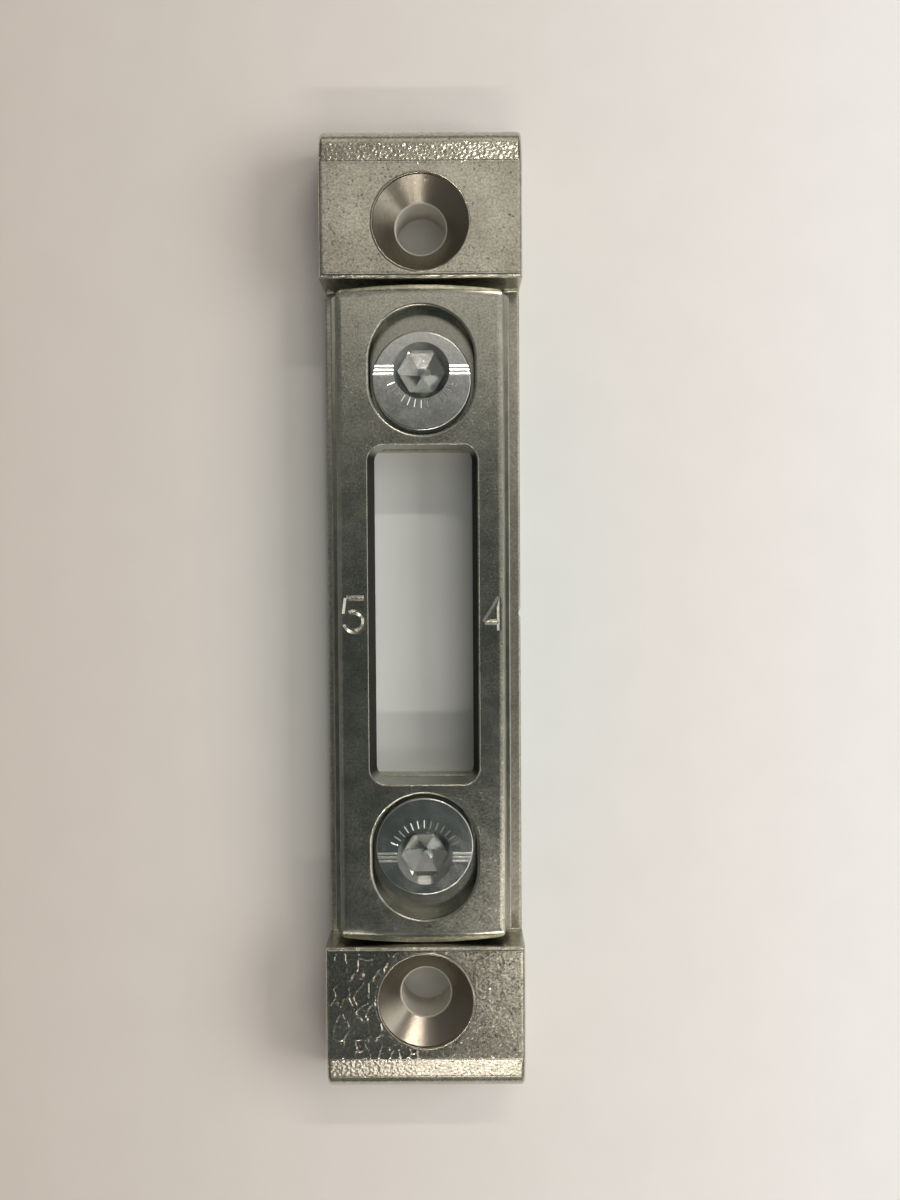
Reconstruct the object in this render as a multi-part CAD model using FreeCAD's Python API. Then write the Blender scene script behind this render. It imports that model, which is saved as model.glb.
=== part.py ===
import FreeCAD, Part
import math
import os

# Adjustable door strike plate, in millimetres.
# The base lies on its back on Z = 0, its long side runs along Y, and its face looks along +Z.
# The origin is the middle of the base's back.

# Base casting: a thin floor between two raised end blocks
BASE_WIDTH = 20.2
BASE_LENGTH = 97.26
BLOCK_HEIGHT = 7.0
FLOOR_THICKNESS = 1.9
BLOCK_SPAN = 67.0            # between the facing sides of the two blocks
END_BEVEL_RUN = 3.73         # length of the ramp at each outer end, seen from above
END_BEVEL_ANGLE = 16.0       # ramp below the level of the block's top
END_ROUND = 2.2              # ramp into end face
BLOCK_EDGE_ROUND = 0.4       # rim of each block and its upright outer corners
FLOOR_EDGE_ROUND = 0.25
BLOCK_FOOT_ROUND = 0.2       # hollow corner where a block rises from the floor
NICK_WIDTH = 1.1             # centre mark filed in both long edges of the floor
NICK_DEPTH = 0.25

# Countersunk fixing holes, one in each block
SCREW_SPACING = 78.0
SCREW_BORE = 5.2
COUNTERSINK_DIAMETER = 9.66
COUNTERSINK_LIP = 0.5        # upright wall above the cone
COUNTERSINK_ANGLE = 98.0

# Sliding insert: a plate on the floor, with a narrower raised face
INSERT_UPPER_GAP = 0.35      # to the +Y block; it lies nearer to the -Y one
INSERT_LOWER_GAP = 0.1
INSERT_TOP = 6.0
INSERT_SHELF = 4.2           # level of the narrow shelf beside the raised face
INSERT_WIDTH = 18.2
FACE_FOOT_WIDTH = 17.25
FACE_WIDTH = 16.6
INSERT_SHIFT = -0.2          # outline against the opening, so that one rail is wider
INSERT_END_RADIUS = 64.0
INSERT_CORNER_ROUND = 0.5    # upright corners
SIDE_RIM_ROUND = 1.2         # worn rim of the face along its long sides
SIDE_RIM_REACH = 0.5         # how far that rounding reaches in from the edge
END_RIM_ROUND = 2.5          # the same at the two ends
END_RIM_REACH = 1.1
SHELF_EDGE_ROUND = 0.15
INSERT_FOOT_CHAMFER = 0.25

# Bolt opening through the insert; the one in the base is wider by the travel, and a little shorter
OPENING_WIDTH = 11.2
OPENING_LENGTH = 34.4
OPENING_CORNER_ROUND = 1.7
OPENING_SIDE_DRAFT = 0.5     # each long wall leans in by this much from face to back
OPENING_END_DRAFT = 0.08
OPENING_MARGIN = 0.35        # base's long wall behind the insert's at full travel
OPENING_STEP = 0.12          # base's end wall in front of the insert's
RIM_BREAK = 0.15             # broken edge around the openings

# Eccentric adjusters: a disc that turns about a shank beside its middle
ECCENTRIC_AXIS = 24.6        # shank from the plate's middle, along Y
ECCENTRICITY = 1.05
DISC_DIAMETER = 10.0
DISC_RECESS = 0.1            # disc's face below the insert's face
DISC_LIFT = 0.05             # disc above the slot's floor
DISC_EDGE_ROUND = 0.2
DISC_FOOT_CHAMFER = 0.25
SLOT_DEPTH = 2.1
SLOT_SIDE_CLEARANCE = 0.3
SLOT_END_CLEARANCE = 0.35
SLOT_RIM_ROUND = 0.3
SHANK_DIAMETER = 6.4
SHANK_CLEARANCE = 0.04       # turning fit in the base
SHANK_SLOT_CLEARANCE = 0.3   # shank to the insert at full travel
TAIL_DIAMETER = 8.2          # peened end behind the base
TAIL_POCKET_DEPTH = 0.8
TAIL_CLEARANCE = 0.2         # around the tail in its pocket
TAIL_LIFT = 0.05             # tail below the pocket's ceiling
TAIL_RECESS = 0.1            # tail above the base's back
TAIL_CHAMFER = 0.3

# Key socket and the marks around it
KEY_SIZE = 4.0               # across the flats
KEY_CLEARANCE = 0.12
SOCKET_DEPTH = 2.2           # straight walls
SOCKET_MOUTH = 5.65
SOCKET_POINT_DEPTH = 1.0     # six leaning faces left by the punch's nose
SOCKET_POINT_SIZE = 0.4      # across the flats at the bottom
MARK_PITCH = 0.38
MARK_COUNT = 3
MARK_WIDTH = 0.3
MARK_DEPTH = 0.09
TICK_INNER = 2.95
TICK_OUTER = 3.75
TICK_COUNT = 13
TICK_STEP = 11.0             # degrees between graduation ticks
TICK_WIDTH = 0.16
TICK_DEPTH = 0.05

# Numerals sunk in the two rails
NUMERAL_HEIGHT = 3.9
NUMERAL_STROKE = 0.55
NUMERAL_DEPTH = 0.17
NUMERAL_Y = 0.1              # middle of the numerals along the rail
FIVE_X = -6.92               # middle of the left numeral's bowl
FOUR_STEM_X = 7.72           # upright stroke of the right numeral
BOWL_SHARE = 0.25            # radius of the 5's bowl over the numeral's height
BOWL_START = -165.0          # degrees, where the bowl begins
BOWL_SWEEP = 288.0
HOOK_TOP_SHARE = 0.82        # top of the 5's upright left of its bowl, over the bowl's radius
HOOK_FOOT_SHARE = 1.05
HOOK_FOOT_RISE = 0.8
BAR_SHARE = 0.385            # reach of the 4's cross bar over the numeral's height
BAR_DROP_SHARE = 0.21        # cross bar below the numeral's middle

# Levels and lengths that follow
END_Y = BASE_LENGTH / 2
BLOCK_Y = BLOCK_SPAN / 2
SCREW_Y = SCREW_SPACING / 2
INSERT_UPPER_Y = BLOCK_Y - INSERT_UPPER_GAP
INSERT_LOWER_Y = INSERT_LOWER_GAP - BLOCK_Y
SLOT_FLOOR = INSERT_TOP - SLOT_DEPTH
TRAVEL = ECCENTRICITY
SLOT_WIDTH = DISC_DIAMETER + 2 * SLOT_SIDE_CLEARANCE
SLOT_LENGTH = DISC_DIAMETER + 2 * (ECCENTRICITY + SLOT_END_CLEARANCE)
CUT_OVERRUN = 1.0            # cutters run past the faces they open

UP = FreeCAD.Vector(0, 0, 1)


def vector(x, y, z=0.0):
    return FreeCAD.Vector(x, y, z)


def box(x0, x1, y0, y1, z0, z1):
    return Part.makeBox(x1 - x0, y1 - y0, z1 - z0, vector(x0, y0, z0))


def cylinder(diameter, x, y, z0, z1):
    return Part.makeCylinder(diameter / 2, z1 - z0, vector(x, y, z0), UP)


def polygon_prism(points, sweep):
    return Part.Face(Part.makePolygon(points + points[:1])).extrude(sweep)


def turned(shape, degrees):
    """A copy turned about the upright line through the origin."""
    return shape.rotated(vector(0, 0), UP, degrees)


def rounded_rectangle(width, length, radius, z):
    """A closed outline about the origin, with arcs at its corners."""
    x = width / 2
    y = length / 2
    lean = radius * (1 - math.sqrt(0.5))
    edges = []
    for sx, sy in ((1, 1), (-1, 1), (-1, -1), (1, -1)):
        upright = vector(sx * x, sy * (y - radius), z)
        level = vector(sx * (x - radius), sy * y, z)
        middle = vector(sx * (x - lean), sy * (y - lean), z)
        ends = (upright, level) if sx * sy > 0 else (level, upright)
        if edges:
            edges.append(Part.LineSegment(edges[-1].EndPoint, ends[0]))
        edges.append(Part.Arc(ends[0], middle, ends[1]))
    edges.append(Part.LineSegment(edges[-1].EndPoint, edges[0].StartPoint))
    return Part.Wire([edge.toShape() for edge in edges])


def tapered_hole(width, length, radius, z_low, side_inset, end_inset, z_high):
    """A rectangular cutter, smaller at its low end by the insets on its sides and ends."""
    low = rounded_rectangle(width - 2 * side_inset, length - 2 * end_inset, radius - side_inset, z_low)
    high = rounded_rectangle(width, length, radius, z_high)
    return Part.makeLoft([low, high], True, True)


def obround(width, length, z):
    """A closed outline about the origin, with its long side along Y."""
    r = width / 2
    straight = (length - width) / 2
    right = Part.LineSegment(vector(r, -straight, z), vector(r, straight, z))
    far = Part.Arc(vector(r, straight, z), vector(0, length / 2, z), vector(-r, straight, z))
    left = Part.LineSegment(vector(-r, straight, z), vector(-r, -straight, z))
    close = Part.Arc(vector(-r, -straight, z), vector(0, -length / 2, z), vector(r, -straight, z))
    return Part.Wire([edge.toShape() for edge in (right, far, left, close)])


def obround_prism(width, length, z0, z1):
    return Part.Face(obround(width, length, z0)).extrude(vector(0, 0, z1 - z0))


def edges_where(shape, test):
    """Edges whose every sampled point passes the test; one shrunk to a point isn't an edge."""
    chosen = []
    for edge in shape.Edges:
        if not edge.Degenerated and all(test(point) for point in edge.discretize(5)):
            chosen.append(edge)
    return chosen


def near(value, target):
    return abs(value - target) < 1e-4


def edges_between(shape, z_low, z_high):
    """Edges that rise from one level to the other."""
    chosen = []
    for edge in shape.Edges:
        heights = sorted(vertex.Point.z for vertex in edge.Vertexes)
        if near(heights[0], z_low) and near(heights[-1], z_high):
            chosen.append(edge)
    return chosen


def v_groove(start, end, width, depth, z):
    """A straight groove of triangular section in a level face."""
    along = end - start
    side = vector(-along.y, along.x).normalize() * (width / 2)
    lift = vector(0, 0, depth)
    bottom = start - lift
    section = [bottom, start + side * 2 + lift, start - side * 2 + lift]
    return polygon_prism([point + vector(0, 0, z) for point in section], along)


def v_arc_groove(centre, radius, first_angle, sweep, width, depth, z):
    """A groove of triangular section that follows an arc; angles in degrees."""
    out = vector(math.cos(math.radians(first_angle)), math.sin(math.radians(first_angle)))
    middle = centre + out * radius + vector(0, 0, z)
    lift = vector(0, 0, depth)
    section = [middle - lift, middle + out * width + lift, middle - out * width + lift]
    face = Part.Face(Part.makePolygon(section + section[:1]))
    return face.revolve(centre + vector(0, 0, z), UP, sweep)


# Base plate

def end_block():
    """The raised block at the +Y end, with its ramp and rounded end."""
    drop = END_BEVEL_RUN * math.tan(math.radians(END_BEVEL_ANGLE))
    profile = [
        vector(-BASE_WIDTH / 2, BLOCK_Y, 0),
        vector(-BASE_WIDTH / 2, BLOCK_Y, BLOCK_HEIGHT),
        vector(-BASE_WIDTH / 2, END_Y - END_BEVEL_RUN, BLOCK_HEIGHT),
        vector(-BASE_WIDTH / 2, END_Y, BLOCK_HEIGHT - drop),
        vector(-BASE_WIDTH / 2, END_Y, 0),
    ]
    block = polygon_prism(profile, vector(BASE_WIDTH, 0, 0))
    ramp_end = edges_where(block, lambda p: near(p.y, END_Y) and near(p.z, BLOCK_HEIGHT - drop))
    block = block.makeFillet(END_ROUND, ramp_end)

    def on_side(p):
        return near(abs(p.x), BASE_WIDTH / 2)

    rims = edges_where(block, lambda p: near(p.y, BLOCK_Y) and near(p.z, BLOCK_HEIGHT))
    for edge in edges_where(block, on_side):
        at_back = all(near(vertex.Point.z, 0) for vertex in edge.Vertexes)
        at_floor_side = all(near(vertex.Point.y, BLOCK_Y) for vertex in edge.Vertexes)
        if not at_back and not at_floor_side:
            rims.append(edge)
    return block.makeFillet(BLOCK_EDGE_ROUND, rims)


def screw_hole(y):
    """Bore, cone and short upright lip of one fixing hole."""
    cone_depth = (COUNTERSINK_DIAMETER - SCREW_BORE) / 2 / math.tan(math.radians(COUNTERSINK_ANGLE / 2))
    cone_top = BLOCK_HEIGHT - COUNTERSINK_LIP
    bore = cylinder(SCREW_BORE, 0, y, -CUT_OVERRUN, cone_top)
    cone_foot = vector(0, y, cone_top - cone_depth)
    cone = Part.makeCone(SCREW_BORE / 2, COUNTERSINK_DIAMETER / 2, cone_depth, cone_foot, UP)
    lip = cylinder(COUNTERSINK_DIAMETER, 0, y, cone_top, BLOCK_HEIGHT + CUT_OVERRUN)
    return bore.fuse([cone, lip])


def base_plate():
    half = BASE_WIDTH / 2
    floor = box(-half, half, -BLOCK_Y, BLOCK_Y, 0, FLOOR_THICKNESS)
    long_edges = edges_where(floor, lambda p: near(abs(p.x), half) and near(p.z, FLOOR_THICKNESS))
    floor = floor.makeFillet(FLOOR_EDGE_ROUND, long_edges)
    block = end_block()
    base = floor.fuse([block, turned(block, 180)]).removeSplitter()
    width = OPENING_WIDTH + 2 * (TRAVEL + OPENING_MARGIN - OPENING_SIDE_DRAFT)
    length = OPENING_LENGTH - 2 * (OPENING_END_DRAFT + OPENING_STEP)
    opening = Part.Face(rounded_rectangle(width, length, OPENING_CORNER_ROUND, -CUT_OVERRUN))
    rim = tapered_hole(
        width + 2 * RIM_BREAK, length + 2 * RIM_BREAK, OPENING_CORNER_ROUND + RIM_BREAK,
        FLOOR_THICKNESS - RIM_BREAK, RIM_BREAK, RIM_BREAK, FLOOR_THICKNESS)
    cutters = [opening.extrude(vector(0, 0, FLOOR_THICKNESS + 2 * CUT_OVERRUN)), rim]
    for side in (1, -1):
        cutters.append(screw_hole(side * SCREW_Y))
        axis_y = side * ECCENTRIC_AXIS
        shank_bore = SHANK_DIAMETER + 2 * SHANK_CLEARANCE
        cutters.append(cylinder(shank_bore, 0, axis_y, -CUT_OVERRUN, FLOOR_THICKNESS + CUT_OVERRUN))
        pocket = TAIL_DIAMETER + 2 * TAIL_CLEARANCE
        cutters.append(cylinder(pocket, 0, axis_y, -CUT_OVERRUN, TAIL_POCKET_DEPTH))
        nick = [
            vector(side * (half - NICK_DEPTH), 0, -CUT_OVERRUN),
            vector(side * (half + NICK_DEPTH), NICK_WIDTH, -CUT_OVERRUN),
            vector(side * (half + NICK_DEPTH), -NICK_WIDTH, -CUT_OVERRUN),
        ]
        cutters.append(polygon_prism(nick, vector(0, 0, FLOOR_THICKNESS + 2 * CUT_OVERRUN)))
        y0, y1 = sorted((side * BLOCK_Y, side * (BLOCK_Y - BLOCK_FOOT_ROUND)))
        fillet_axis = vector(-half, side * (BLOCK_Y - BLOCK_FOOT_ROUND), FLOOR_THICKNESS + BLOCK_FOOT_ROUND)
        hollow = Part.makeCylinder(BLOCK_FOOT_ROUND, BASE_WIDTH, fillet_axis, vector(1, 0, 0))
        inset = half - FLOOR_EDGE_ROUND
        foot = box(-inset, inset, y0, y1, FLOOR_THICKNESS, FLOOR_THICKNESS + BLOCK_FOOT_ROUND)
        base = base.fuse(foot.cut(hollow))
    return base.cut(cutters).removeSplitter()


# Sliding insert

def between_end_arcs(shape, margin=0.0):
    """Trim a bar along Y to the insert's two convex ends, or to a margin around them."""
    for centre_y in (INSERT_UPPER_Y - INSERT_END_RADIUS, INSERT_LOWER_Y + INSERT_END_RADIUS):
        diameter = 2 * (INSERT_END_RADIUS + margin)
        shape = shape.common(cylinder(diameter, INSERT_SHIFT, centre_y, 0, BLOCK_HEIGHT))
    return shape


def worn_envelope():
    """Room for the face under its worn rim, which is broad at the ends and narrow along the sides."""
    half = FACE_WIDTH / 2 + SIDE_RIM_ROUND - SIDE_RIM_REACH
    long_bar = box(INSERT_SHIFT - half, INSERT_SHIFT + half, -END_Y, END_Y, 0, INSERT_TOP)
    wide_bar = box(-BASE_WIDTH, BASE_WIDTH, -END_Y, END_Y, 0, INSERT_TOP)
    wide_bar = between_end_arcs(wide_bar, END_RIM_ROUND - END_RIM_REACH)

    def long_rim(p):
        return near(p.z, INSERT_TOP) and near(abs(p.x - INSERT_SHIFT), half)

    long_bar = long_bar.makeFillet(SIDE_RIM_ROUND, edges_where(long_bar, long_rim))
    top_edges = edges_where(wide_bar, lambda p: near(p.z, INSERT_TOP))
    end_rims = [edge for edge in top_edges if edge.Curve.TypeId == "Part::GeomCircle"]
    return long_bar.common(wide_bar.makeFillet(END_RIM_ROUND, end_rims))


def insert_body():
    """Lower slab and raised face in one casting, before anything is cut in it."""
    y0 = INSERT_LOWER_Y
    y1 = INSERT_UPPER_Y
    half = INSERT_WIDTH / 2
    slab = box(INSERT_SHIFT - half, INSERT_SHIFT + half, y0, y1, FLOOR_THICKNESS, INSERT_SHELF)
    section = [
        vector(INSERT_SHIFT - FACE_FOOT_WIDTH / 2, y0, INSERT_SHELF),
        vector(INSERT_SHIFT + FACE_FOOT_WIDTH / 2, y0, INSERT_SHELF),
        vector(INSERT_SHIFT + FACE_WIDTH / 2, y0, INSERT_TOP),
        vector(INSERT_SHIFT - FACE_WIDTH / 2, y0, INSERT_TOP),
    ]
    face = polygon_prism(section, vector(0, y1 - y0, 0))
    layers = []
    for layer, z_low, z_high in ((slab, FLOOR_THICKNESS, INSERT_SHELF), (face, INSERT_SHELF, INSERT_TOP)):
        layer = between_end_arcs(layer)
        corners = edges_between(layer, z_low, z_high)
        layers.append(layer.makeFillet(INSERT_CORNER_ROUND, corners))
    body = layers[0].fuse(layers[1].common(worn_envelope())).removeSplitter()

    def shelf_edge(p):
        return near(p.z, INSERT_SHELF) and near(abs(p.x - INSERT_SHIFT), half)

    body = body.makeFillet(SHELF_EDGE_ROUND, edges_where(body, shelf_edge))
    return body.makeChamfer(INSERT_FOOT_CHAMFER, edges_where(body, lambda p: near(p.z, FLOOR_THICKNESS)))


def eccentric_slot():
    """Counterbore for the disc and the cross slot for the shank, at the origin."""
    bore = obround_prism(SLOT_WIDTH, SLOT_LENGTH, SLOT_FLOOR, INSERT_TOP + CUT_OVERRUN)
    across = SHANK_DIAMETER + 2 * SHANK_SLOT_CLEARANCE
    cross = obround_prism(across, across + 2 * TRAVEL, FLOOR_THICKNESS - CUT_OVERRUN, SLOT_FLOOR)
    return bore.fuse(turned(cross, 90))


def numeral_five(x):
    """Sunken strokes of a 5 whose bowl is centred on x."""
    size = (NUMERAL_STROKE, NUMERAL_DEPTH, INSERT_TOP)
    top = NUMERAL_Y + (NUMERAL_HEIGHT - NUMERAL_STROKE) / 2
    bottom = NUMERAL_Y - (NUMERAL_HEIGHT - NUMERAL_STROKE) / 2
    r = NUMERAL_HEIGHT * BOWL_SHARE
    bowl = vector(x, bottom + r)
    corner = vector(x - r * HOOK_TOP_SHARE, top)
    foot = bowl + vector(-r * HOOK_FOOT_SHARE, r * HOOK_FOOT_RISE)
    bar_end = vector(x + r, top)
    return [
        v_groove(corner, bar_end, *size),
        v_groove(corner, foot, *size),
        v_arc_groove(bowl, r, BOWL_START, BOWL_SWEEP, *size),
    ]


def numeral_four(stem):
    """Sunken strokes of a 4 whose upright stands at the given X."""
    size = (NUMERAL_STROKE, NUMERAL_DEPTH, INSERT_TOP)
    top = NUMERAL_Y + (NUMERAL_HEIGHT - NUMERAL_STROKE) / 2
    bottom = NUMERAL_Y - (NUMERAL_HEIGHT - NUMERAL_STROKE) / 2
    apex = vector(stem, top)
    crotch = vector(stem - NUMERAL_HEIGHT * BAR_SHARE, NUMERAL_Y - NUMERAL_HEIGHT * BAR_DROP_SHARE)
    return [
        v_groove(apex, vector(stem, bottom), *size),
        v_groove(apex, crotch, *size),
        v_groove(crotch, vector(stem, crotch.y), *size),
    ]


def sliding_insert():
    slot = eccentric_slot()
    insert = insert_body().cut([slot.translated(vector(0, side * ECCENTRIC_AXIS)) for side in (1, -1)])

    def slot_rim(p):
        off_axis = abs(abs(p.y) - ECCENTRIC_AXIS)
        return near(p.z, INSERT_TOP) and abs(p.x) < SLOT_WIDTH / 2 + RIM_BREAK and off_axis < SLOT_WIDTH

    insert = insert.makeFillet(SLOT_RIM_ROUND, edges_where(insert, slot_rim))
    opening = tapered_hole(
        OPENING_WIDTH, OPENING_LENGTH, OPENING_CORNER_ROUND,
        FLOOR_THICKNESS, OPENING_SIDE_DRAFT, OPENING_END_DRAFT, INSERT_TOP)
    rim = tapered_hole(
        OPENING_WIDTH + RIM_BREAK, OPENING_LENGTH + RIM_BREAK, OPENING_CORNER_ROUND + RIM_BREAK,
        INSERT_TOP - RIM_BREAK, RIM_BREAK, RIM_BREAK, INSERT_TOP)
    return insert.cut([opening, rim] + numeral_five(FIVE_X) + numeral_four(FOUR_STEM_X))


# Eccentric adjusters

def hexagon(across_flats, z):
    """Corners of a hexagon about the origin, with two flats facing along Y."""
    reach = across_flats / 2 / math.cos(math.radians(30))
    angles = [math.radians(60 * step) for step in range(6)]
    return [vector(reach * math.cos(angle), reach * math.sin(angle), z) for angle in angles]


def key_socket(top):
    """Six-sided socket with a coned mouth and a blunt pointed bottom, on the shank's axis."""
    size = KEY_SIZE + 2 * KEY_CLEARANCE
    foot = top - SOCKET_DEPTH
    walls = polygon_prism(hexagon(size, foot), vector(0, 0, SOCKET_DEPTH + CUT_OVERRUN))
    mouth_depth = (SOCKET_MOUTH - size) / 2
    mouth = Part.makeCone(size / 2, SOCKET_MOUTH / 2, mouth_depth, vector(0, 0, top - mouth_depth), UP)
    outlines = []
    for across, z in ((SOCKET_POINT_SIZE, foot - SOCKET_POINT_DEPTH), (size, foot)):
        corners = hexagon(across, z)
        outlines.append(Part.makePolygon(corners + corners[:1]))
    point = Part.makeLoft(outlines, True, True)
    return walls.fuse([mouth, point])


def face_marks(top):
    """Index lines on both sides of the socket and ticks around the disc's wide side."""
    marks = []
    for row in range(MARK_COUNT):
        y = (row - (MARK_COUNT - 1) / 2) * MARK_PITCH
        for side in (1, -1):
            start = vector(side * SOCKET_MOUTH / 2, y)
            end = vector(side * (DISC_DIAMETER / 2 + CUT_OVERRUN), y)
            marks.append(v_groove(start, end, MARK_WIDTH, MARK_DEPTH, top))
    tick = v_groove(vector(0, -TICK_INNER), vector(0, -TICK_OUTER), TICK_WIDTH, TICK_DEPTH, top)
    for step in range(TICK_COUNT):
        marks.append(turned(tick, (step - (TICK_COUNT - 1) / 2) * TICK_STEP))
    return marks


def eccentric():
    """One adjuster with its shank on the origin's upright line and its wide side towards -Y."""
    top = INSERT_TOP - DISC_RECESS
    underside = SLOT_FLOOR + DISC_LIFT
    disc = cylinder(DISC_DIAMETER, 0, -ECCENTRICITY, underside, top)
    disc = disc.makeFillet(DISC_EDGE_ROUND, edges_where(disc, lambda p: near(p.z, top)))
    disc = disc.makeChamfer(DISC_FOOT_CHAMFER, edges_where(disc, lambda p: near(p.z, underside)))
    shank = cylinder(SHANK_DIAMETER, 0, 0, TAIL_RECESS, underside)
    tail_top = TAIL_POCKET_DEPTH - TAIL_LIFT
    tail = cylinder(TAIL_DIAMETER, 0, 0, TAIL_RECESS, tail_top)
    tail = tail.makeChamfer(TAIL_CHAMFER, edges_where(tail, lambda p: near(p.z, TAIL_RECESS)))
    body = disc.fuse([shank, tail]).removeSplitter()
    return body.cut([key_socket(top)] + face_marks(top))


upper_eccentric = eccentric().translated(vector(0, ECCENTRIC_AXIS))

pieces = {
    "base_plate": base_plate(),
    "sliding_insert": sliding_insert(),
    "upper_eccentric": upper_eccentric,
    "lower_eccentric": turned(upper_eccentric, 180),
}

os.makedirs("parts", exist_ok=True)
for name, shape in pieces.items():
    shape.exportStep(f"parts/{name}.step")
    print(name, shape.isValid(), len(shape.Solids), "solid", round(shape.Volume, 2), "mm3")
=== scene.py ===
# %% [markdown]
# # An adjustable door strike plate
# The real part is a die-cast zinc base with two raised end blocks, a zinc insert that slides
# sideways between them, and two bright steel eccentrics that push the insert when they are turned.
# The solids come finished from the imported model, in metres, so this lesson is about what a solid
# lacks: the relief of the casting skin, the finishes, the light and the camera.

# %% Load the imported part
import math
import bpy
from mathutils import Matrix, Vector


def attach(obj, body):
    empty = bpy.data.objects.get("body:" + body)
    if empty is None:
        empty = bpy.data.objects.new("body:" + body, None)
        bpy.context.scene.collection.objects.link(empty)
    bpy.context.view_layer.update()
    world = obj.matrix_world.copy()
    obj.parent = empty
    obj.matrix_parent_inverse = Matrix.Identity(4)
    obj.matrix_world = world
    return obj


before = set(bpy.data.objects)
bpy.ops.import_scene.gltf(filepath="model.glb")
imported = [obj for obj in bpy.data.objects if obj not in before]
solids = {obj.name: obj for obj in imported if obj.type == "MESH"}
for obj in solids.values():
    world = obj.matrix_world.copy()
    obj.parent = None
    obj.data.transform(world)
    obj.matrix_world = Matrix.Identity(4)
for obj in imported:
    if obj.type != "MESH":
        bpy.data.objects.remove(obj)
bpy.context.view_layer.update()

MM = 0.001
print("pieces:", ", ".join(sorted(solids)))

# %% [markdown]
# ## Camera
# The picture was taken by hand from close above, so the near faces look larger than the deep ones.
# A camera placed by eye would miss that. Here its place was worked out from how far the same
# upright edges shift between their top and their foot, and it is written down in millimetres.
# The lens is given for a 36 mm sensor on the picture's long side.

# %% Place the camera
CAMERA_PLACE = Vector((2.83, 4.55, 108.8)) * MM
CAMERA_AIM = Vector((2.72, 1.56, 7.0)) * MM
PICTURE_UP = Vector((0.0064, 0.9995, 0.0))
LENS = 30.6
SENSOR = 36.0
NEAREST = 5 * MM
FARTHEST = 20.0

look = (CAMERA_AIM - CAMERA_PLACE).normalized()
right = look.cross(PICTURE_UP).normalized()
up = right.cross(look)
camera = bpy.data.objects.new("camera", bpy.data.cameras.new("camera"))
bpy.context.scene.collection.objects.link(camera)
camera.matrix_world = Matrix.Translation(CAMERA_PLACE) @ Matrix((right, up, -look)).transposed().to_4x4()
camera.data.lens = LENS
camera.data.sensor_width = SENSOR
camera.data.clip_start = NEAREST
camera.data.clip_end = FARTHEST
bpy.context.scene.camera = camera

# %% [markdown]
# ## Two helpers for node trees
# Materials, the world and Geometry Nodes are all node trees. One function turns an sRGB hex
# colour, as a colour picker shows it, into the linear values that Blender computes with. The other
# adds one node, sets its properties and fills its inputs. A socket given as an input becomes a
# link, and a node given as an input is linked by its first output.

# %% Helpers
def linear(hex_colour):
    channels = [int(hex_colour[i:i + 2], 16) / 255 for i in (1, 3, 5)]
    return [c / 12.92 if c <= 0.04045 else ((c + 0.055) / 1.055) ** 2.4 for c in channels] + [1.0]


def add(tree, kind, inputs=None, **settings):
    made = tree.nodes.new(kind)
    for name, value in settings.items():
        setattr(made, name, value)
    for key, value in (inputs or {}).items():
        if isinstance(value, bpy.types.Node):
            value = value.outputs[0]
        if isinstance(value, bpy.types.NodeSocket):
            tree.links.new(value, made.inputs[key])
        else:
            made.inputs[key].default_value = value
    return made


print("a screen's middle grey in linear light:", round(linear("#808080")[0], 3))

# %% [markdown]
# ## The room
# Metal looks like what it mirrors, so the room matters as much as the finish. This room is dim, lighter
# high up than low down and lighter on the right than on the left. It is darkest nearly straight above,
# where the camera is, so the level faces look darker than the paper. Walls and a ceiling could be
# modelled, but a world of a few nodes is enough: two greys that change with height, a sideways drift
# and a soft dark patch.

# %% Room
ROOM_LOW = "#666561"
ROOM_HIGH = "#8f8d88"
RISE = (0.1, 0.8)
SIDEWAYS = (-0.5, 0.95)
LEFT_STRENGTH = 0.7
RIGHT_STRENGTH = 1.7
SHADE_TONE = "#404645"
SHADE_TOWARDS = Vector((-0.08, -0.26, 1.0)).normalized()
SHADE_CORE = math.radians(14.0)
SHADE_EDGE = math.radians(31.0)

bpy.context.scene.view_settings.view_transform = "Standard"
world = bpy.data.worlds.new("room")
bpy.context.scene.world = world
world.use_nodes = True
sky = world.node_tree
sky.nodes.clear()
direction = add(sky, "ShaderNodeTexCoord").outputs["Generated"]
axes = add(sky, "ShaderNodeSeparateXYZ", {0: direction}).outputs
rise = add(sky, "ShaderNodeMapRange", {"Value": axes["Z"], "From Min": RISE[0], "From Max": RISE[1]},
           interpolation_type="SMOOTHSTEP")
room = add(sky, "ShaderNodeMix", {0: rise, 6: linear(ROOM_LOW), 7: linear(ROOM_HIGH)}, data_type="RGBA")
sideways = add(sky, "ShaderNodeMapRange", {
    "Value": axes["X"], "From Min": SIDEWAYS[0], "From Max": SIDEWAYS[1],
    "To Min": LEFT_STRENGTH, "To Max": RIGHT_STRENGTH})
leaning = add(sky, "ShaderNodeVectorMath", {0: room.outputs[2], 3: sideways}, operation="SCALE")
facing = add(sky, "ShaderNodeVectorMath", {0: direction, 1: SHADE_TOWARDS}, operation="DOT_PRODUCT")
patch = add(sky, "ShaderNodeMapRange", {
    "Value": facing.outputs["Value"], "From Min": math.cos(SHADE_EDGE), "From Max": math.cos(SHADE_CORE)},
    interpolation_type="SMOOTHSTEP")
tone = add(sky, "ShaderNodeMix", {0: patch, 6: leaning, 7: linear(SHADE_TONE)}, data_type="RGBA")
background = add(sky, "ShaderNodeBackground", {"Color": tone.outputs[2], "Strength": 1.0})
add(sky, "ShaderNodeOutputWorld", {"Surface": background})
print("room shade points", [round(c, 2) for c in SHADE_TOWARDS])

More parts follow.
